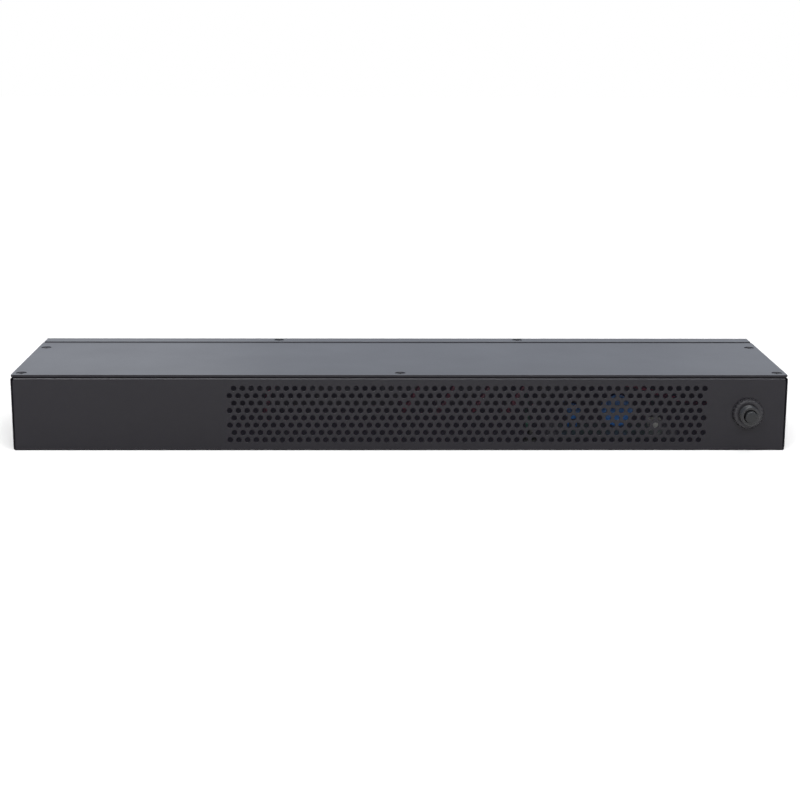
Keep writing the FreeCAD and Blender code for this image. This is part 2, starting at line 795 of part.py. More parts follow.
def safety_capacitors():
    """Small disc capacitors."""
    return Part.makeCompound([disc_part(x, y, capacitor_r, capacitor_t, capacitor_rise)
                              for x, y in zip(capacitor_xs, capacitor_ys)])


def board_header():
    """Moulded header that the leads plug into, with a key slot in its top."""
    corner = on_board(header_x - header_w / 2, header_y - header_d / 2, 0)
    block = Part.makeBox(header_w, header_d, header_h, corner)
    slot = Part.makeBox(header_w - 2 * header_wall, header_d / 2, header_h / 2,
                        corner + V(header_wall, header_wall, header_h / 2))
    return block.cut(slot)


def lead_start(k):
    """Point where a lead leaves the header."""
    return on_board(header_x + (k - 1) * lead_pitch, header_y + header_d / 2, header_h / 3)


def board_live_lead():
    """From the header to the live bar."""
    start = lead_start(0)
    end = bus_end_point("live", start.x, live_bus_z)
    return wire([start, start + V(0, lead_run, 0), end - V(0, lead_run, 0), end], lead_r)


def board_neutral_lead():
    """From the header to the neutral bar."""
    start = lead_start(1)
    end = bus_end_point("neutral", start.x, neutral_bus_z)
    return wire([start, start + V(0, lead_run, 0), end - V(0, lead_run, lead_rise),
                 end - V(0, bond_run, 0), end], lead_r)


def board_earth_lead():
    """From the header to the earth bar."""
    start = lead_start(2)
    end = bus_end_point("earth", start.x, earth_bus_z)
    return wire([start, start + V(0, lead_run, 0), end - V(0, lead_run, lead_rise),
                 end - V(0, bond_run, 0), end], lead_r)


def main():
    os.makedirs("parts", exist_ok=True)
    save("base_tray", base_tray())
    save("vent_panel", vent_panel())
    save("top_cover", top_cover())
    save("outlet_panel", outlet_panel())
    save("rear_rail", rear_rail())
    save("cover_screws", Part.makeCompound([countersunk_screw(x, y, body_h)
                                            for x, y in front_screws + rear_screws]))
    save("strip_screws", Part.makeCompound([countersunk_screw(x, y, strip_top) for x, y in strip_screws]))
    save("breaker_case", breaker_case())
    save("breaker_nut", breaker_nut())
    save("reset_button", reset_button())
    save("breaker_terminals", breaker_terminals())
    for number, x in enumerate(outlet_xs, 1):
        save(f"outlet_{number}", outlet(x))
    save("outlet_contacts", outlet_contacts())
    save("live_bus", bus_bar("live", live_bus_z))
    save("neutral_bus", bus_bar("neutral", neutral_bus_z))
    save("earth_bus", bus_bar("earth", earth_bus_z))
    save("inlet_body", inlet_body())
    save("inlet_pins", inlet_pins())
    save("terminal_sleeves", terminal_sleeves())
    save("live_feed_wire", live_feed_wire())
    save("live_load_wire", live_load_wire())
    save("live_taps", live_taps())
    save("neutral_wire", neutral_wire())
    save("earth_wire", earth_wire())
    save("bond_wire", bond_wire())
    save("earth_stud", earth_stud())
    save("earth_lug", earth_lug())
    save("earth_nut", earth_nut())
    save("surge_board", surge_board())
    save("board_posts", board_posts())
    save("varistor", disc_part(varistor_x, varistor_y, varistor_r, varistor_t, varistor_rise))
    save("safety_capacitors", safety_capacitors())
    save("board_header", board_header())
    save("board_live_lead", board_live_lead())
    save("board_neutral_lead", board_neutral_lead())
    save("board_earth_lead", board_earth_lead())


main()
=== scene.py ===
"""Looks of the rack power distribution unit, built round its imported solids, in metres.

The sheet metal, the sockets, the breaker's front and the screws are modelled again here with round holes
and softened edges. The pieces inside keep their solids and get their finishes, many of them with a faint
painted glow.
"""
import json
import math

import bmesh
import bpy
from bmesh.types import BMEdge, BMFace, BMVert
from mathutils import Matrix, Vector


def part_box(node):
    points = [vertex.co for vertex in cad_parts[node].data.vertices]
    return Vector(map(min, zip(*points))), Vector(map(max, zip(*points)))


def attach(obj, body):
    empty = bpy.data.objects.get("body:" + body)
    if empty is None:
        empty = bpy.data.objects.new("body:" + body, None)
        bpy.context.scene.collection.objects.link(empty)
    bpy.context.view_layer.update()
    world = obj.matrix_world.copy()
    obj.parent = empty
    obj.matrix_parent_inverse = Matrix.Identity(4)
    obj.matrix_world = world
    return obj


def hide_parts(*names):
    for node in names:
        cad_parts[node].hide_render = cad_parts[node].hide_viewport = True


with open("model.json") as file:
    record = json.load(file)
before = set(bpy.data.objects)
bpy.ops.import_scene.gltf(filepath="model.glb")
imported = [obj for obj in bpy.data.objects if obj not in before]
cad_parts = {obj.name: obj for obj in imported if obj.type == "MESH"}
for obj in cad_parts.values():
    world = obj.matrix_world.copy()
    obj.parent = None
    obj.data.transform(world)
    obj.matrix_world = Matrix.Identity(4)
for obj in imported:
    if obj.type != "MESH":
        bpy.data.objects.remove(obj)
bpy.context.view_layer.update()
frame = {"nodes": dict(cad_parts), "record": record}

MM = 0.001
QUARTER_TURN = math.pi / 2
ACROSS = Vector((1, 0, 0))
UP = Vector((0, 0, 1))
TO_FRONT = Vector((0, -1, 0))
TO_BACK = Vector((0, 1, 0))
FACING_FRONT = Matrix.Rotation(QUARTER_TURN, 4, "X")
FACING_UP = Matrix.Identity(4)
BLACK = (0, 0, 0, 1)
WHITE = (1, 1, 1, 1)

# Meshes
merge_gap = 0.001 * MM
plane_gap = 0.005 * MM
flat_angle = math.radians(0.5)
smooth_angle = math.radians(35)

# Sheet metal
sheet = 1.2 * MM
bend_r = 1.5 * MM
bend_steps = 6
flange_relief = 0.5 * MM
lip = 0.4 * MM
lip_taper = 8.0 * MM
lip_drop = 0.55 * MM
cover_rise = 0.2 * MM
cover_corner_r = 1.0 * MM
cover_edge = 0.1 * MM
panel_sheet = 1.6 * MM
panel_bend_r = 1.9 * MM
nest_half = 220.75 * MM
sheet_edge = 0.12 * MM

# Vents
vent_pitch = 5.0 * MM
vent_r = 1.55 * MM
vent_rows = 8
vent_columns = 55
vent_mid_x = 38.5 * MM
vent_drop = 0.12 * MM
vent_sides = 24
vent_edge = 0.16 * MM
cell_r = vent_pitch / math.sqrt(3)
cell_sides = 6
row_pitch = vent_pitch * math.sqrt(3) / 2

# Countersunk screws
mouth_r = 3.2 * MM
mouth_reach = 1.5 * mouth_r
screw_r = 1.5 * MM
screw_hole_r = 2.2 * MM
screw_sunk = 0.45 * MM
screw_len = 5.6 * MM
screw_sides = 32
head_r = 2.7 * MM
cross_reach = 1.35 * MM
cross_arm = 0.42 * MM
cross_depth = 1.2 * MM
cross_taper = 0.75

# Breaker's front
nut_ridges = 24
ridge_corners = 4
ridge_h = 0.4 * MM
nut_sides = ridge_corners * nut_ridges
nut_straight = 0.55
nut_front_r = 8.2 * MM
nut_edge = 0.15 * MM
neck_r = 5.5 * MM
neck_room = 0.1 * MM
neck_root = 2.0 * MM
neck_edge = 0.3 * MM
bore_r = 3.95 * MM
thread_pitch = 0.75 * MM
thread_h = 0.3 * MM
breaker_edge = 0.8 * MM
button_r = 3.5 * MM
button_edge = 0.6 * MM
button_edge_steps = 4
button_dome = 0.25 * MM
turned_sides = 64

# Sockets
core_w = 23.6 * MM
core_h = 15.6 * MM
core_chamfer = 4.5 * MM
corner_r = 1.2 * MM
moat = 2.4 * MM
moat_depth = 17.0 * MM
shell_wall = 1.5 * MM
lip_over = 2.4 * MM
lip_t = 2.0 * MM
slot_w = 2.6 * MM
slot_h = 5.2 * MM
slot_depth = 14.3 * MM
slot_edge = 0.35 * MM
inlet_room = 0.5 * MM
inlet_wall = 1.8 * MM
inlet_lip_over = 4.0 * MM
cavity_depth = 16.5 * MM
pin_edge = 0.4 * MM
cut_gap = 0.15 * MM
face_gap = 0.1 * MM
poles = [(-7.0 * MM, -2.0 * MM), (7.0 * MM, -2.0 * MM), (0.0, 2.0 * MM)]
outlet_names = sorted(n for n in frame["nodes"] if n.removeprefix("outlet_").isdigit())

# Finishes, by the record's slots
cloud_per_metre = 22
cloud_detail = 3.0
colour_spread = 0.12
rough_spread = 0.08
grain_depth = 0.02 * MM
# painted glow: a faint emission on surfaces inside the case, standing in for the dim light in its room
painted_glow_colour = (0.0072, 0.0068, 0.0092, 1.0)
painted_glow_depth = 42 * MM
floor_depth = 6 * MM
wall_room = 4 * MM
far_room = 1 * MM
# the pieces inside the case glow all over with this painted light
inner_parts_painted_glow = {"Emission_Color": painted_glow_colour, "Emission_Strength": 1.0}
finishes = {
    "case_paint": dict(colour=(0.0085, 0.0076, 0.0102), roughness=0.31, grain=2600, bump=0.12, gleam=True,
                       Specular_IOR_Level=0.24),
    "screw_black": dict(colour=(0.007, 0.0065, 0.008), roughness=0.31, Specular_IOR_Level=0.24),
    "breaker_moulding": dict(colour=(0.0095, 0.0095, 0.0108), roughness=0.28, Specular_IOR_Level=0.42),
    "breaker_nut": dict(colour=(0.019, 0.018, 0.0205), roughness=0.36, Specular_IOR_Level=0.28),
    "button_moulding": dict(colour=(0.007, 0.0075, 0.0083), roughness=0.3, Specular_IOR_Level=0.35),
    "terminal_brass": dict(colour=(0.05, 0.048, 0.04), roughness=0.45, Metallic=1.0, **inner_parts_painted_glow),
    "socket_moulding": dict(colour=(0.016, 0.016, 0.018), roughness=0.4, grain=1800, gleam=True),
    "pin_plating": dict(colour=(0.72, 0.71, 0.69), roughness=0.24, Metallic=1.0),
    "sleeve_nylon": dict(colour=(0.55, 0.53, 0.47), roughness=0.45),
    "post_nylon": dict(colour=(0.02, 0.02, 0.022), roughness=0.45, **inner_parts_painted_glow),
    "wire_red": dict(colour=(0.17, 0.012, 0.03), roughness=0.4, **inner_parts_painted_glow),
    "wire_black": dict(colour=(0.018, 0.018, 0.02), roughness=0.4, **inner_parts_painted_glow),
    "wire_green": dict(colour=(0.014, 0.08, 0.045), roughness=0.4, **inner_parts_painted_glow),
    "earth_hardware": dict(colour=(0.14, 0.14, 0.135), roughness=0.4, Metallic=1.0),
    "board_green": dict(colour=(0.012, 0.032, 0.024), roughness=0.4, **inner_parts_painted_glow),
    "disc_blue": dict(colour=(0.014, 0.105, 0.34), roughness=0.3),
    "header_grey": dict(colour=(0.4, 0.4, 0.39), roughness=0.45),
}

# Stage: each lamp has a name, a place, a width, a height and a power in watts
world_light = 0.22
gloss_light = 0.955
gloss_tint = (0.84, 0.905, 1.025, 1.0)
floor_half = 4.0
floor_colour = (0.8, 0.8, 0.8, 1)
floor_roughness = 0.9
near_glow = 0.06
glow_rise = 0.4
lamps = [
    ("front_bank", (0.15, -1.2, 0.98), 1.8, 0.12, 25.0),
    ("front_left", (-0.72, -1.2, 0.98), 0.4, 0.12, 7.0),
    ("overhead", (0.1, -0.3, 1.2), 1.2, 0.3, 5.0),
    ("rear_high", (0.2, 1.2, 1.5), 1.6, 0.3, 11.0),
    ("rear_left", (-0.6, 1.65, 0.75), 0.8, 0.8, 0.7),
    ("rear_right", (0.75, 1.65, 0.75), 0.55, 0.8, 0.25),
]

# Camera
camera_at = Vector((-12.95, -992.45, 246.39)) * MM
camera_pitch = math.radians(13.010)
camera_yaw = math.radians(0.782)
camera_roll = math.radians(0.184)
camera_lens = 75.57
camera_sensor = 36.0
camera_near = 10 * MM


# Shader maths

class Value:
    """Output of a shader node that takes part in sums and products."""

    def __init__(self, nodes, socket):
        self.nodes = nodes
        self.socket = socket

    def __add__(self, other):
        return self.nodes.maths("ADD", self, other)

    def __mul__(self, other):
        return self.nodes.maths("MULTIPLY", self, other)

    __radd__ = __add__
    __rmul__ = __mul__


class Nodes:
    """Shader nodes of one material or of the world."""

    def __init__(self, tree):
        self.tree = tree

    def plug(self, socket, value):
        """Links a value to a socket, or sets a plain number or colour on it."""
        if isinstance(value, Value):
            self.tree.links.new(value.socket, socket)
        else:
            socket.default_value = value

    def make(self, kind, settings=None, inputs=None, output=0):
        """One node: its settings first, then the values or links of its sockets."""
        node = self.tree.nodes.new(kind)
        for name, value in (settings or {}).items():
            setattr(node, name, value)
        for name, value in (inputs or {}).items():
            self.plug(node.inputs[name], value)
        return Value(self, node.outputs[output])

    def split(self, value, *outputs):
        """Several outputs of the node that a value comes from."""
        return [Value(self, value.socket.node.outputs[name]) for name in outputs]

    def maths(self, operation, *terms):
        """One step of a sum on plain values."""
        return self.make("ShaderNodeMath", {"operation": operation}, dict(enumerate(terms)))

    def place(self):
        """Where a point lies on the part."""
        return self.make("ShaderNodeTexCoord", output="Object")

    def rays(self):
        """1 for what the camera sees straight, in gloss and through clear pieces, each by itself."""
        return self.split(self.make("ShaderNodeLightPath"),
                          "Is Camera Ray", "Is Glossy Ray", "Is Transmission Ray")

    def noise(self, place, per_metre, detail=2.0):
        """Cloudy pattern from 0 to 1."""
        return self.make("ShaderNodeTexNoise", None,
                         {"Vector": place, "Scale": per_metre, "Detail": detail}, "Fac")

    def blend(self, share, first, second):
        """Share of the second colour in the first, by the colour sockets of a Mix node."""
        return self.make("ShaderNodeMix", {"data_type": "RGBA"}, {0: share, 6: first, 7: second}, 2)

    def bump(self, height, strength, depth):
        """Normal of a surface that a pattern raises."""
        return self.make("ShaderNodeBump", None,
                         {"Height": height, "Strength": strength, "Distance": depth}, "Normal")


def new_material(name):
    """Material, its nodes and the inputs of its shader."""
    material = bpy.data.materials.new(name)
    material.use_nodes = True
    return material, Nodes(material.node_tree), material.node_tree.nodes["Principled BSDF"].inputs


def painted_glow_zone(nodes, place):
    """Mask of the painted glow: 1 in the far part of the case's room and on its floor, 0 elsewhere."""
    low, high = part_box("base_tray")
    x, y, z = nodes.split(nodes.make("ShaderNodeSeparateXYZ", None, {0: place}), "X", "Y", "Z")
    far = nodes.maths("GREATER_THAN", y, low.y + painted_glow_depth)
    on_floor = nodes.maths("LESS_THAN", z, low.z + 2 * sheet)
    tests = [nodes.maths("LESS_THAN", nodes.maths("ABSOLUTE", x), high.x - wall_room),
             nodes.maths("GREATER_THAN", y, low.y + floor_depth),
             nodes.maths("LESS_THAN", y, high.y - far_room),
             nodes.maths("MAXIMUM", far, on_floor),
             nodes.maths("GREATER_THAN", z, low.z + sheet / 2),
             nodes.maths("LESS_THAN", z, high.z - sheet / 2)]
    return math.prod(tests[1:], start=tests[0])


def finish(name, colour, roughness, grain=900, bump=0.1, gleam=False, **constants):
    """Material with a clouded colour, an uneven gloss, a fine grain and perhaps a faint painted glow deep in
    the case.
    """
    material, nodes, shader = new_material(name)
    place = nodes.place()
    cloud = nodes.noise(place, cloud_per_metre, cloud_detail)
    fine = nodes.noise(place, grain)
    dark = [c * (1 - colour_spread) for c in colour] + [1.0]
    light = [c * (1 + colour_spread) for c in colour] + [1.0]
    nodes.plug(shader["Base Color"], nodes.blend(cloud, dark, light))
    nodes.plug(shader["Roughness"], (roughness - rough_spread) + (cloud + fine) * rough_spread)
    nodes.plug(shader["Normal"], nodes.bump(fine, bump, grain_depth))
    # painted glow: faint emission where the mask lies deep inside the case, in place of light there
    if gleam:
        nodes.plug(shader["Emission Color"], nodes.blend(painted_glow_zone(nodes, place), BLACK, painted_glow_colour))
        shader["Emission Strength"].default_value = 1.0
    for socket, value in constants.items():
        shader[socket.replace("_", " ")].default_value = value
    return material


# Mesh tools

def only(kind, made):
    """Elements of one kind among those that an operator made."""
    return [g for g in made if isinstance(g, kind)]


def ends_of(edges):
    """Vertices of a run of edges, each once."""
    return list(dict.fromkeys(v for e in edges for v in e.verts))


def outline(bm, points):
    """Edges of a closed outline."""
    corners = [bm.verts.new(p) for p in points]
    return [bm.edges.new((corners[k - 1], corners[k])) for k in range(len(corners))]


def rounded_outline(bm, points, radius, segments):
    """Edges of a closed outline with rounded corners."""
    known = set(bm.edges)
    rim = outline(bm, points)
    bmesh.ops.bevel(bm, geom=ends_of(rim), offset=radius, segments=segments, profile=0.5,
                    affect="VERTICES", material=-1)
    return [e for e in bm.edges if e not in known]


def circle(bm, centre, radius, facing, sides):
    """Edges of a round outline."""
    made = bmesh.ops.create_circle(bm, segments=sides, radius=radius,
                                   matrix=Matrix.Translation(centre) @ facing)["verts"]
    return list(dict.fromkeys(e for v in made for e in v.link_edges))


def fill(bm, edges, normal):
    """Flat face inside the first outline and outside the others."""
    return only(BMFace, bmesh.ops.triangle_fill(bm, use_beauty=True, edges=edges, normal=normal)["geom"])


def pull(bm, edges, shift):
    """Extrudes edges and gives the new ones."""
    made = bmesh.ops.extrude_edge_only(bm, edges=edges)["geom"]
    bmesh.ops.translate(bm, verts=only(BMVert, made), vec=shift)
    return only(BMEdge, made)


def resize(bm, edges, centre, factor):
    """Scales an outline about a point."""
    bmesh.ops.scale(bm, verts=ends_of(edges), vec=Vector((factor,) * 3), space=Matrix.Translation(-centre))


def fold(bm, edges, pivot, axis, angle):
    """Bends a sheet's rim about a pivot and gives the new rim."""
    return only(BMEdge, bmesh.ops.spin(bm, geom=ends_of(edges) + edges, cent=pivot, axis=axis, angle=angle,
                                       steps=bend_steps)["geom_last"])


def thicken(bm, thickness, face, side):
    """Gives an open sheet its thickness, away from the side to which a face is to look."""
    bmesh.ops.recalc_face_normals(bm, faces=bm.faces[:])
    if face.normal.dot(side) < 0:
        bmesh.ops.reverse_faces(bm, faces=bm.faces[:])
    bmesh.ops.solidify(bm, geom=bm.faces[:], thickness=thickness)


def soften(bm, width, segments=2, sharp=40.0, keep=None):
    """Bevels the sharp edges, or those of them that the keep test picks."""
    bmesh.ops.recalc_face_normals(bm, faces=bm.faces[:])
    picked = []
    for edge in bm.edges:
        if len(edge.link_faces) == 2 and edge.calc_face_angle() > math.radians(sharp):
            if keep is None or keep(edge):
                picked.append(edge)
    bmesh.ops.bevel(bm, geom=picked, offset=width, segments=segments, profile=0.5, affect="EDGES",
                    material=-1, clamp_overlap=False, loop_slide=False)


def lathe(bm, profile, centre, axis, sides):
    """Turns a closed or pole-to-pole profile of (radius, distance along the axis) round the axis."""
    first = axis.orthogonal().normalized()
    points = [bm.verts.new(centre + first * r + axis * d) for r, d in profile]
    edges = [bm.edges.new(pair) for pair in zip(points, points[1:])]
    if profile[0][0] > 0:
        edges.append(bm.edges.new((points[-1], points[0])))
    bmesh.ops.spin(bm, geom=points + edges, cent=centre, axis=axis, angle=4 * QUARTER_TURN, steps=sides,
                   use_merge=True)
    bmesh.ops.remove_doubles(bm, verts=bm.verts[:], dist=merge_gap)


def node_copy(node):
    """Merged copy of a node's solid, its flat faces whole."""
    bm = bmesh.new()
    bm.from_mesh(frame["nodes"][node].data)
    bmesh.ops.remove_doubles(bm, verts=bm.verts[:], dist=merge_gap)
    bmesh.ops.dissolve_limit(bm, angle_limit=flat_angle, verts=bm.verts[:], edges=bm.edges[:])
    return bm


def new_object(name, bm):
    """Object with a finished mesh."""
    mesh = bpy.data.meshes.new(name)
    bm.to_mesh(mesh)
    bm.free()
    obj = bpy.data.objects.new(name, mesh)
    bpy.context.scene.collection.objects.link(obj)
    return obj


def piece(name, bm, nodes, slot, body="case", smooth=False):
    """Finished piece that rides on a body and stands for its nodes."""
    bmesh.ops.recalc_face_normals(bm, faces=bm.faces[:])
    obj = new_object(name, bm)
    if smooth:
        obj.data.shade_smooth()
        obj.data.set_sharp_from_angle(angle=smooth_angle)
    obj.data.materials.append(materials[slot])
    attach(obj, body)
    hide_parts(*nodes)


def middle(node):
    """Middle of a node's box."""
    low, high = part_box(node)
    return (low + high) / 2


# Sheet metal

def screw_places(node):
    """Middles of a screw node's heads, on the raised sheet's top."""
    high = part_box(node)[1].z
    top = [v.co for v in frame["nodes"][node].data.vertices if v.co.z > high - plane_gap]
    places = []
    for point in top:
        if all((p - point.xy).length >= 2 * mouth_r for p in places):
            ring = [q.xy for q in top if (q.xy - point.xy).length < 2 * mouth_r]
            places.append(sum(ring, Vector((0, 0))) / len(ring))
    return [Vector((p.x, p.y, high + cover_rise)) for p in places]


def screw_mouths(bm, places):
    """Edges of the screws' holes in a sheet's top."""
    return [e for at in places for e in circle(bm, at, mouth_r, FACING_UP, screw_sides)]


def near_screw(vert, at):
    """Whether a vertex belongs to a screw's hole."""
    return (vert.co.xy - at.xy).length < mouth_reach


def countersink(bm, under, places):
    """Narrows the screws' holes at a sheet's underside."""
    share = screw_hole_r / mouth_r
    for at in places:
        bmesh.ops.scale(bm, verts=[v for v in under if near_screw(v, at)], vec=Vector((share, share, 1)),
                        space=Matrix.Translation(-at))


def vent_cells(bm, low, high):
    """Hexagon cells with a round hole each, in staggered rows; gives the long edges round them all."""
    circle(bm, Vector(), vent_r, FACING_FRONT, vent_sides)
    circle(bm, Vector(), cell_r, FACING_FRONT, cell_sides)
    bmesh.ops.bridge_loops(bm, edges=bm.edges[:])
    cell = bm.verts[:] + bm.edges[:] + bm.faces[:]
    mid_z = high.z / 2 - vent_drop
    for row in range(vent_rows):
        z = mid_z + ((vent_rows - 1) / 2 - row) * row_pitch
        shift = vent_pitch / 4 * (-1) ** row
        for column in range(vent_columns):
            x = vent_mid_x + shift + (column - (vent_columns - 1) / 2) * vent_pitch
            copy = bmesh.ops.duplicate(bm, geom=cell)["geom"]
            bmesh.ops.translate(bm, verts=only(BMVert, copy), vec=Vector((x, low.y, z)))
    bmesh.ops.delete(bm, geom=only(BMVert, cell), context="VERTS")
    bmesh.ops.remove_doubles(bm, verts=bm.verts[:], dist=merge_gap)
    return [e for e in bm.edges if e.is_boundary and e.calc_length() > vent_r]


def vent_panel():
    """Perforated front sheet with a flange under the cover and a bend at each wall."""
    low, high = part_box("vent_panel")
    bm = bmesh.new()
    zigzag = vent_cells(bm, low, high)
    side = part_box("base_tray")[1].x - lip - bend_r
    fold_z = high.z - bend_r
    relief_z = fold_z - flange_relief
    corners = [(-side, low.z), (side, low.z), (side, relief_z), (high.x, relief_z),
               (high.x, fold_z), (low.x, fold_z), (low.x, relief_z), (-side, relief_z)]
    face = outline(bm, [(x, low.y, z) for x, z in corners])
    nut_at = middle("breaker_nut")
    neck_hole = circle(bm, Vector((nut_at.x, low.y, nut_at.z)), neck_r + neck_room, FACING_FRONT,
                       turned_sides)
    front = fill(bm, face + zigzag + neck_hole, TO_FRONT)
    left, right, top = face[0], face[2], face[5]
    bend_y = low.y + bend_r
    rim = fold(bm, [top], Vector((0, bend_y, fold_z)), ACROSS, -QUARTER_TURN)
    pull(bm, rim, Vector((0, high.y - bend_y, 0)))
    fold(bm, [right], Vector((side, bend_y, 0)), UP, QUARTER_TURN)
    fold(bm, [left], Vector((-side, bend_y, 0)), UP, -QUARTER_TURN)
    thicken(bm, sheet, front[0], TO_FRONT)
    soften(bm, vent_edge)
    piece("vent_sheet", bm, ["vent_panel"], "case_paint")


def top_cover():
    """Flat lid with countersunk holes, a little above its solid."""
    low, high = (corner + UP * cover_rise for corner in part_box("top_cover"))
    places = screw_places("cover_screws")
    bm = bmesh.new()
    corners = [(low.x, low.y, high.z), (high.x, low.y, high.z), (high.x, high.y, high.z),
               (low.x, high.y, high.z)]
    rim = rounded_outline(bm, corners, cover_corner_r, segments=5)
    fill(bm, rim + screw_mouths(bm, places), UP)
    under = only(BMVert, bmesh.ops.extrude_face_region(bm, geom=bm.faces[:])["geom"])
    bmesh.ops.translate(bm, verts=under, vec=Vector((0, 0, low.z - high.z)))
    countersink(bm, under, places)
    soften(bm, cover_edge, segments=3, sharp=60.0,
           keep=lambda e: min(v.co.z for v in e.verts) > high.z - cover_edge)
    piece("cover_sheet", bm, ["top_cover"], "case_paint")


def outlet_panel():
    """Far sheet with its cut-outs, its strip with the screws' holes and its lower flange."""
    low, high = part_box("outlet_panel")
    high.z += cover_rise
    places = screw_places("strip_screws")
    bm = bmesh.new()
    holes = []
    for name in outlet_names:
        holes += socket_outline(bm, middle(name), moat + shell_wall + cut_gap, high.y)
    holes += socket_outline(bm, middle("inlet_body"), inlet_room + inlet_wall + cut_gap, high.y)
    bend_y = high.y - panel_bend_r
    lower_z = low.z + panel_bend_r
    upper_z = high.z - panel_bend_r
    nest_z = lower_z + panel_bend_r
    corners = [(-nest_half, lower_z), (nest_half, lower_z), (high.x, nest_z), (high.x, upper_z),
               (low.x, upper_z), (low.x, nest_z)]
    face = outline(bm, [(x, high.y, z) for x, z in corners])
    front = fill(bm, face + holes, TO_BACK)
    bottom, top = face[1], face[4]
    inwards = Vector((0, low.y - bend_y, 0))
    lower_rim = fold(bm, [bottom], Vector((0, bend_y, lower_z)), ACROSS, -QUARTER_TURN)
    pull(bm, lower_rim, inwards)
    upper_rim = fold(bm, [top], Vector((0, bend_y, upper_z)), ACROSS, QUARTER_TURN)
    strip = pull(bm, upper_rim, inwards)[0].link_faces[0]
    edges = list(strip.edges)
    bmesh.ops.delete(bm, geom=[strip], context="FACES_ONLY")
    fill(bm, edges + screw_mouths(bm, places), UP)
    thicken(bm, panel_sheet, front[0], TO_BACK)
    under = [v for v in bm.verts if abs(v.co.z - high.z + panel_sheet) < plane_gap]
    countersink(bm, under, places)
    soften(bm, sheet_edge, keep=lambda e: not any(near_screw(v, at) for v in e.verts for at in places))
    piece("outlet_sheet", bm, ["outlet_panel"], "case_paint")


def tray():
    """Floor and walls, the walls thinned to a lip where they take the front sheet."""
    low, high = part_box("base_tray")
    bm = node_copy("base_tray")
    bmesh.ops.bisect_plane(bm, geom=bm.verts[:] + bm.edges[:] + bm.faces[:], dist=merge_gap,
                           plane_co=Vector((0, low.y + lip_taper, 0)), plane_no=TO_BACK)
    for vert in bm.verts:
        inner = abs(abs(vert.co.x) - high.x + sheet) < plane_gap
        if inner and vert.co.y < low.y + lip_taper / 2:
            vert.co.x = math.copysign(high.x - lip, vert.co.x)
            vert.co.z = min(vert.co.z, high.z - lip_drop)
    piece("tray_sheet", bm, ["base_tray"], "case_paint")


# Screws

def screw_heads(name, node):
    """Countersunk screws with a cross recess, each a little below the sheet."""
    bm = bmesh.new()
    a, b = cross_arm, cross_reach
    corners = [(a, b), (-a, b), (-a, a), (-b, a), (-b, -a), (-a, -a),
               (-a, -b), (a, -b), (a, -a), (b, -a), (b, a), (a, a)]
    cone_h = head_r - screw_r
    for at in screw_places(node):
        top = at - UP * screw_sunk
        rim = circle(bm, top, head_r, FACING_UP, screw_sides)
        cross = outline(bm, [top + Vector((x, y, 0)) for x, y in corners])
        fill(bm, rim + cross, UP)
        floor = pull(bm, cross, -UP * cross_depth)
        resize(bm, floor, top - UP * cross_depth, cross_taper)
        bmesh.ops.contextual_create(bm, geom=floor)
        cone = pull(bm, rim, -UP * cone_h)
        resize(bm, cone, top - UP * cone_h, screw_r / head_r)
        shank = pull(bm, cone, UP * (cone_h - screw_len))
        bmesh.ops.contextual_create(bm, geom=shank)
    piece(name, bm, [node], "screw_black", smooth=True)


# Sockets

def plug_corners(grow):
    """Corners of a plug's outline about its middle, grown all round."""
    w = core_w / 2 + grow
    h = core_h / 2 + grow
    cut = core_chamfer + grow * (2 - math.sqrt(2))
    corners = [(-w, -h), (w, -h), (w, h - cut), (w - cut, h), (cut - w, h), (-w, h - cut)]
    return [Vector((x, 0, z)) for x, z in corners]


def socket_outline(bm, at, grow, y):
    """Edges of a plug's outline with rounded corners, in the plane of a depth."""
    centre = Vector((at.x, y, at.z))
    return rounded_outline(bm, [centre + corner for corner in plug_corners(grow)], corner_r, segments=3)


def socket_shell(bm, at, steps):
    """Skin through plug outlines given as (growth, depth) steps; gives the first and the last outline."""
    grow, y = steps[0]
    first = socket_outline(bm, at, grow, y)
    last = first
    for new_grow, new_y in steps[1:]:
        last = pull(bm, last, Vector((0, new_y - y, 0)))
        corners = plug_corners(grow)
        shifts = [b - a for a, b in zip(corners, plug_corners(new_grow))]
        for vert in ends_of(last):
            place = vert.co - Vector((at.x, new_y, at.z))
            nearest = min(range(len(corners)), key=lambda k: (corners[k] - place).length)
            vert.co += shifts[nearest]
        grow, y = new_grow, new_y
    return first, last


def socket_piece(name, bm, node, face_y):
    """Finished socket, softened where it shows."""
    soften(bm, slot_edge, sharp=60.0, keep=lambda e: min(v.co.y for v in e.verts) > face_y - face_gap)
    piece(name, bm, [node], "socket_moulding", smooth=True)


def slot_outline(bm, x, y, z):
    """Edges of one contact slot."""
    w = slot_w / 2
    h = slot_h / 2
    return outline(bm, [(x - w, y, z - h), (x + w, y, z - h), (x + w, y, z + h), (x - w, y, z + h)])


def outlet(name):
    """Outlet: shell, lip, moat and core with three slots."""
    low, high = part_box(name)
    at = middle(name)
    bm = bmesh.new()
    shell = moat + shell_wall
    panel = high.y - lip_t
    back, core = socket_shell(bm, at, [
        (shell, low.y), (shell, panel), (shell + lip_over, panel), (shell + lip_over, high.y),
        (moat, high.y), (moat, high.y - moat_depth), (0.0, high.y - moat_depth), (0.0, high.y)])
    fill(bm, back, TO_FRONT)
    slots = [slot_outline(bm, at.x + dx, high.y, at.z + dz) for dx, dz in poles]
    fill(bm, core + sum(slots, []), TO_BACK)
    for slot in slots:
        bmesh.ops.contextual_create(bm, geom=pull(bm, slot, TO_FRONT * slot_depth))
    socket_piece(f"{name}_moulding", bm, name, high.y)


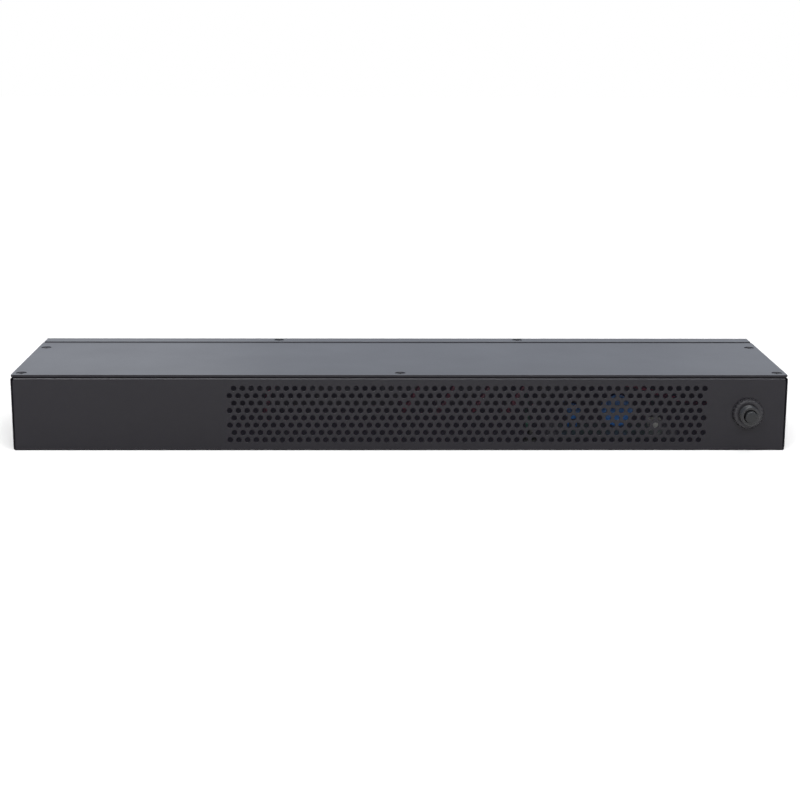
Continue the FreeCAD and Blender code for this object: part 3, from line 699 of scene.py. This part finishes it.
def inlet():
    """Inlet: shell, lip and the cavity round the pins, and the pins."""
    low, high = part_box("inlet_body")
    bm = bmesh.new()
    shell = inlet_room + inlet_wall
    panel = high.y - lip_t
    back, floor = socket_shell(bm, middle("inlet_body"), [
        (shell, low.y), (shell, panel), (shell + inlet_lip_over, panel), (shell + inlet_lip_over, high.y),
        (inlet_room, high.y), (inlet_room, high.y - cavity_depth)])
    fill(bm, back, TO_FRONT)
    fill(bm, floor, TO_BACK)
    socket_piece("inlet_moulding", bm, "inlet_body", high.y)
    pins = node_copy("inlet_pins")
    soften(pins, pin_edge)
    piece("inlet_blades", pins, ["inlet_pins"], "pin_plating")


# Breaker

def breaker_nut():
    """Ring nut with a ridged rim that tapers to the front."""
    low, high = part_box("breaker_nut")
    at = middle("breaker_nut")
    nut_r = (high.x - low.x) / 2
    thick = high.y - low.y
    root = Vector((at.x, high.y, at.z))
    bm = bmesh.new()
    rim = circle(bm, root, nut_r, FACING_FRONT, nut_sides)
    for k, vert in enumerate(ends_of(rim)):
        if k % ridge_corners in (1, 2):
            vert.co = root + (vert.co - root) * (1 - ridge_h / nut_r)
    hole = circle(bm, root, neck_r + neck_room, FACING_FRONT, nut_sides)
    bmesh.ops.bridge_loops(bm, edges=rim + hole)
    side = pull(bm, rim, TO_FRONT * thick * nut_straight)
    taper = pull(bm, side, TO_FRONT * thick * (1 - nut_straight))
    resize(bm, taper, root + TO_FRONT * thick, nut_front_r / nut_r)
    inner = pull(bm, hole, TO_FRONT * thick)
    bmesh.ops.bridge_loops(bm, edges=taper + inner)
    soften(bm, nut_edge, sharp=50.0)
    piece("nut_ring", bm, ["breaker_nut"], "breaker_nut", smooth=True)


def breaker_case():
    """Case behind the panel and the threaded neck that stands out of it."""
    low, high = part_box("breaker_case")
    at = middle("breaker_nut")
    case_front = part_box("vent_panel")[0].y + sheet
    bm = bmesh.new()
    size = Vector((high.x - low.x, high.y - case_front, high.z - low.z))
    centre = Vector(((low.x + high.x) / 2, (case_front + high.y) / 2, (low.z + high.z) / 2))
    bmesh.ops.create_cube(bm, size=1.0, matrix=Matrix.Translation(centre) @ Matrix.Diagonal(size).to_4x4())
    soften(bm, breaker_edge, segments=3)
    root = case_front + neck_root
    length = root - low.y
    profile = [(neck_r, 0.0)]
    turns = int((length - neck_edge) / thread_pitch)
    for k in range(turns):
        start = length - neck_edge - (turns - k) * thread_pitch
        profile += [(neck_r, start), (neck_r - thread_h, start + thread_pitch / 2)]
    profile += [(neck_r, length - neck_edge), (neck_r - neck_edge, length), (bore_r, length), (bore_r, 0.0)]
    lathe(bm, profile, Vector((at.x, root, at.z)), TO_FRONT, turned_sides)
    piece("breaker_body", bm, ["breaker_case"], "breaker_moulding", smooth=True)


def reset_button():
    """Button with a rounded rim and a softly domed tip."""
    low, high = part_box("reset_button")
    at = middle("breaker_nut")
    length = high.y - low.y
    bm = bmesh.new()
    flat_r = button_r - button_edge
    rim_start = length - button_edge - button_dome
    profile = [(0.0, 0.0), (button_r, 0.0), (button_r, rim_start)]
    for k in range(1, button_edge_steps + 1):
        turn = QUARTER_TURN * k / button_edge_steps
        profile.append((flat_r + button_edge * math.cos(turn), rim_start + button_edge * math.sin(turn)))
    # halfway in from the rim, a dome lies a quarter of its height below its tip
    profile += [(flat_r / 2, length - button_dome / 4), (0.0, length)]
    lathe(bm, profile, Vector((at.x, high.y, at.z)), TO_FRONT, turned_sides)
    piece("button_cap", bm, ["reset_button"], "button_moulding", "button", smooth=True)


# Stage

def surroundings():
    """World: plain light, a cooler and softer glint in gloss, and white for the camera."""
    world = bpy.data.worlds.new("studio")
    world.use_nodes = True
    bpy.context.scene.world = world
    nodes = Nodes(world.node_tree)
    background = world.node_tree.nodes["Background"].inputs
    seen, gloss, clear = nodes.rays()
    nodes.plug(background["Color"], nodes.blend(gloss, WHITE, gloss_tint))
    nodes.plug(background["Strength"],
               world_light + (seen + clear) * (1 - world_light) + gloss * (gloss_light - world_light))


def studio_floor():
    """Pale floor that turns white away from the part."""
    bm = bmesh.new()
    bmesh.ops.create_grid(bm, x_segments=1, y_segments=1, size=floor_half)
    floor = new_object("floor", bm)
    material, nodes, shader = new_material("floor_white")
    shader["Base Color"].default_value = floor_colour
    shader["Roughness"].default_value = floor_roughness
    shader["Specular IOR Level"].default_value = 0.0
    away = nodes.make("ShaderNodeVectorMath", {"operation": "LENGTH"}, {0: nodes.place()}, "Value")
    nodes.plug(shader["Emission Color"], nodes.blend(near_glow + away * glow_rise, BLACK, WHITE))
    seen, gloss, clear = nodes.rays()
    nodes.plug(shader["Emission Strength"], seen + gloss + clear)
    floor.data.materials.append(material)


def soft_lamp(name, place, width, height, power):
    """Oblong lamp that looks at the part."""
    light = bpy.data.lights.new(name, "AREA")
    light.shape = "RECTANGLE"
    light.size = width
    light.size_y = height
    light.energy = power
    lamp = bpy.data.objects.new(name, light)
    lamp.location = place
    lamp.rotation_euler = (-Vector(place)).to_track_quat("-Z", "Y").to_euler()
    bpy.context.scene.collection.objects.link(lamp)


def camera():
    """Camera at the photograph's angle."""
    data = bpy.data.cameras.new("camera")
    data.lens = camera_lens
    data.sensor_width = camera_sensor
    data.clip_start = camera_near
    obj = bpy.data.objects.new("camera", data)
    turn = (Matrix.Rotation(-camera_yaw, 4, "Z") @ Matrix.Rotation(QUARTER_TURN - camera_pitch, 4, "X")
            @ Matrix.Rotation(camera_roll, 4, "Z"))
    obj.matrix_world = Matrix.Translation(camera_at) @ turn
    bpy.context.scene.collection.objects.link(obj)
    bpy.context.scene.camera = obj


materials = {slot: finish(slot, **look) for slot, look in finishes.items()}
node_slots = {row["node"]: row["material_slot"] for row in frame["record"]["subparts"]}
for node, solid in frame["nodes"].items():
    solid.data.materials.clear()
    solid.data.materials.append(materials[node_slots[node]])

vent_panel()
top_cover()
outlet_panel()
tray()
screw_heads("cover_screw_heads", "cover_screws")
screw_heads("strip_screw_heads", "strip_screws")
for outlet_name in outlet_names:
    outlet(outlet_name)
inlet()
breaker_nut()
breaker_case()
reset_button()

bpy.context.scene.view_settings.view_transform = "Standard"
surroundings()
studio_floor()
for lamp_row in lamps:
    soft_lamp(*lamp_row)
camera()
